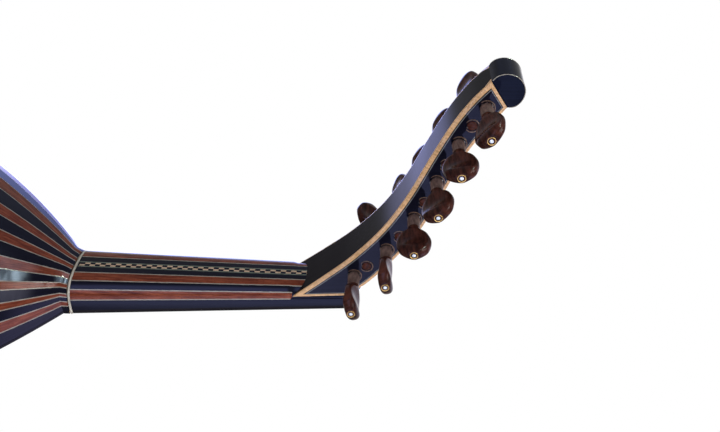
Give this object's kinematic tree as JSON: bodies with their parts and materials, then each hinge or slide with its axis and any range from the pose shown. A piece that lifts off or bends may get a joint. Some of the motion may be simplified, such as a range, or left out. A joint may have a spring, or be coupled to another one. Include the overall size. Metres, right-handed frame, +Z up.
{
  "type": "oud",
  "caption": "Fretless short-necked lute with a deep bowl of alternating dark and red ribs, a bent-back pegbox, turning friction pegs, fretwork rosettes and strings over a glued bridge.",
  "frame": {"origin": "middle of the neck just under the nut, in the plane of the fingerboard's face, where a hanger's yoke closes round the neck", "axes": "+Z up the neck towards the head, +Y from the soundboard towards the rounded back, +X towards the treble-side pegs"},
  "size_m": [0.36, 0.1916, 0.809],
  "materials": {
    "ebony_lacquered": "high-gloss lacquer over black ebony",
    "padauk_lacquered": "high-gloss lacquer over red-brown padauk",
    "neck_wood": "gloss lacquer over striped veneers",
    "maple_line": "pale maple line under gloss lacquer",
    "bone": "polished bone",
    "soundboard_spruce": "thin satin finish over straight-grained spruce",
    "rosette_wood": "satin fretwork",
    "bridge_wood": "satin rosewood",
    "block_wood": "bare wood",
    "peg_rosewood": "polished rosewood",
    "string_wound": "silver-plated winding over a silk core",
    "string_nylon": "clear nylon"
  },
  "bodies": {
    "root": {"rib_01": "ebony_lacquered", "rib_02": "padauk_lacquered", "rib_03": "ebony_lacquered", "rib_04": "padauk_lacquered", "rib_05": "ebony_lacquered", "rib_06": "padauk_lacquered", "rib_07": "ebony_lacquered", "rib_08": "padauk_lacquered", "rib_09": "ebony_lacquered", "rib_10": "padauk_lacquered", "rib_11": "ebony_lacquered", "rib_12": "padauk_lacquered", "rib_13": "ebony_lacquered", "rib_14": "padauk_lacquered", "rib_15": "ebony_lacquered", "rib_16": "padauk_lacquered", "rib_17": "ebony_lacquered", "rib_18": "padauk_lacquered", "rib_19": "ebony_lacquered", "rib_20": "padauk_lacquered", "rib_21": "ebony_lacquered", "neck_block": "block_wood", "tail_block": "block_wood", "soundboard": "soundboard_spruce", "rosette_large": "rosette_wood", "rosette_bass_side": "rosette_wood", "rosette_treble_side": "rosette_wood", "tail_cap": "ebony_lacquered", "neck": "neck_wood", "joint_ring": "maple_line", "fingerboard": "ebony_lacquered", "nut": "bone", "pegbox_cheek_bass": "ebony_lacquered", "pegbox_cheek_treble": "ebony_lacquered", "pegbox_back": "ebony_lacquered", "pegbox_finial": "ebony_lacquered", "bridge": "bridge_wood", "pick_plate": "bridge_wood", "string_01": "string_wound", "string_02": "string_wound", "string_03": "string_wound", "string_04": "string_wound", "string_05": "string_wound", "string_06": "string_nylon", "string_07": "string_nylon", "string_08": "string_nylon", "string_09": "string_nylon", "string_10": "string_nylon", "string_11": "string_nylon"},
    "peg_bass_1_body": {"peg_bass_1": "peg_rosewood"},
    "peg_treble_1_body": {"peg_treble_1": "peg_rosewood"},
    "peg_bass_2_body": {"peg_bass_2": "peg_rosewood"},
    "peg_treble_2_body": {"peg_treble_2": "peg_rosewood"},
    "peg_bass_3_body": {"peg_bass_3": "peg_rosewood"},
    "peg_treble_3_body": {"peg_treble_3": "peg_rosewood"},
    "peg_bass_4_body": {"peg_bass_4": "peg_rosewood"},
    "peg_treble_4_body": {"peg_treble_4": "peg_rosewood"},
    "peg_bass_5_body": {"peg_bass_5": "peg_rosewood"},
    "peg_treble_5_body": {"peg_treble_5": "peg_rosewood"},
    "peg_bass_6_body": {"peg_bass_6": "peg_rosewood"}
  },
  "joints": [
    {"name": "peg_bass_1_turn", "type": "hinge", "parent": "root", "child": "peg_bass_1_body", "pos_m": [0, 0.02877, 0.01892], "axis": [1, 0, 0], "continuous": true},
    {"name": "peg_treble_1_turn", "type": "hinge", "parent": "root", "child": "peg_treble_1_body", "pos_m": [0, 0.03695, 0.02797], "axis": [1, 0, 0], "continuous": true},
    {"name": "peg_bass_2_turn", "type": "hinge", "parent": "root", "child": "peg_bass_2_body", "pos_m": [0, 0.05074, 0.04198], "axis": [1, 0, 0], "continuous": true},
    {"name": "peg_treble_2_turn", "type": "hinge", "parent": "root", "child": "peg_treble_2_body", "pos_m": [0, 0.06192, 0.0509], "axis": [1, 0, 0], "continuous": true},
    {"name": "peg_bass_3_turn", "type": "hinge", "parent": "root", "child": "peg_bass_3_body", "pos_m": [0, 0.07653, 0.06064], "axis": [1, 0, 0], "continuous": true},
    {"name": "peg_treble_3_turn", "type": "hinge", "parent": "root", "child": "peg_treble_3_body", "pos_m": [0, 0.08922, 0.06765], "axis": [1, 0, 0], "continuous": true},
    {"name": "peg_bass_4_turn", "type": "hinge", "parent": "root", "child": "peg_bass_4_body", "pos_m": [0, 0.10515, 0.07544], "axis": [1, 0, 0], "continuous": true},
    {"name": "peg_treble_4_turn", "type": "hinge", "parent": "root", "child": "peg_treble_4_body", "pos_m": [0, 0.11821, 0.08136], "axis": [1, 0, 0], "continuous": true},
    {"name": "peg_bass_5_turn", "type": "hinge", "parent": "root", "child": "peg_bass_5_body", "pos_m": [0, 0.13377, 0.08877], "axis": [1, 0, 0], "continuous": true},
    {"name": "peg_treble_5_turn", "type": "hinge", "parent": "root", "child": "peg_treble_5_body", "pos_m": [0, 0.14679, 0.09691], "axis": [1, 0, 0], "continuous": true},
    {"name": "peg_bass_6_turn", "type": "hinge", "parent": "root", "child": "peg_bass_6_body", "pos_m": [0, 0.15906, 0.1053], "axis": [1, 0, 0], "continuous": true}
  ]
}
